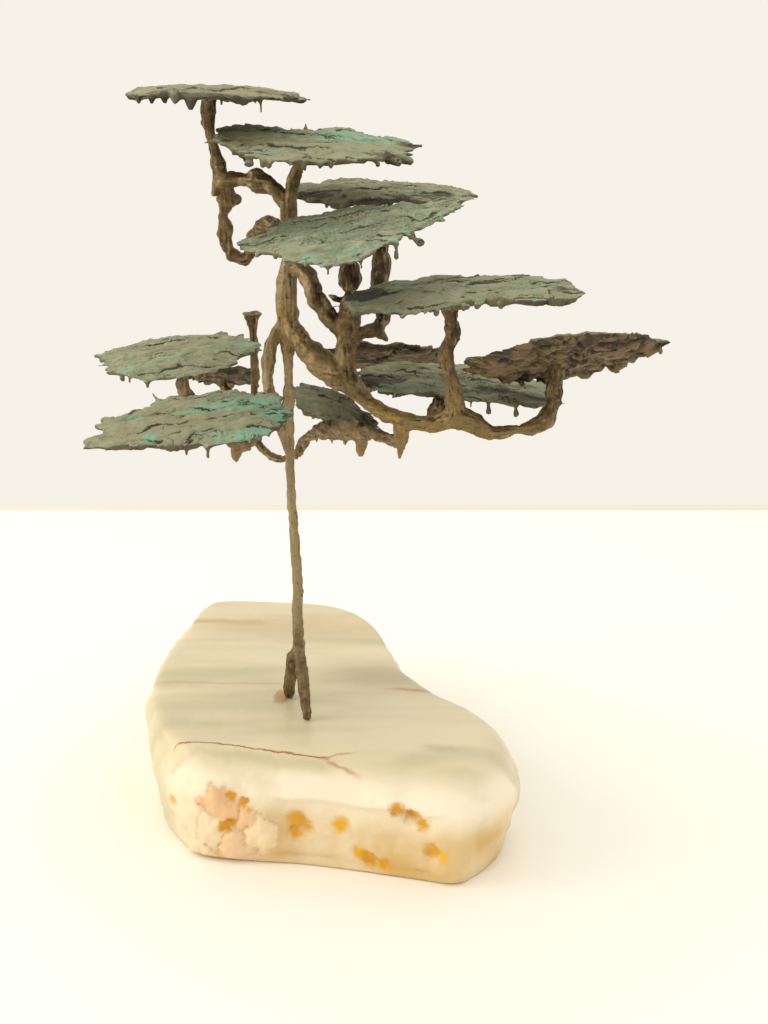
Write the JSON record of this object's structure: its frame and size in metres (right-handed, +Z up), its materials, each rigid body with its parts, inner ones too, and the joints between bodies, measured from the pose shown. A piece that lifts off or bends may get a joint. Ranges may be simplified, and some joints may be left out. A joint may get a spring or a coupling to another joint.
{
  "type": "bronze tree sculpture",
  "caption": "Bronze bonsai tree with a slender forked trunk, gnarled limbs and flat verdigris foliage pads, standing on a slab of banded onyx.",
  "frame": {"origin": "centre of the slab's flat underside", "axes": "+Z up, +X to the viewer's right, +Y away from the viewer"},
  "size_m": [0.2302, 0.221, 0.3027],
  "materials": {
    "onyx": "polished top, broken crystalline front, banded and slightly translucent",
    "brown_bronze": "brazed bronze with a brown bark-like patina, rubbed golden on the swellings",
    "verdigris_bronze": "flaked bronze plate with a dusty grey-green patina and turquoise verdigris"
  },
  "bodies": {
    "root": {"stone_base": "onyx", "trunk_and_limbs": "brown_bronze", "foliage_pad_top_left": "verdigris_bronze", "foliage_pad_top_middle": "verdigris_bronze", "foliage_pad_upper_right": "verdigris_bronze", "foliage_pad_centre_front": "verdigris_bronze", "foliage_pad_right_upper": "verdigris_bronze", "foliage_pad_right_tip": "verdigris_bronze", "foliage_pad_right_low": "verdigris_bronze", "foliage_pad_rear_right": "verdigris_bronze", "foliage_pad_left_rear": "verdigris_bronze", "foliage_pad_left_front": "verdigris_bronze", "foliage_pad_low_middle": "verdigris_bronze", "foliage_pad_rear_left": "verdigris_bronze"}
  },
  "joints": []
}
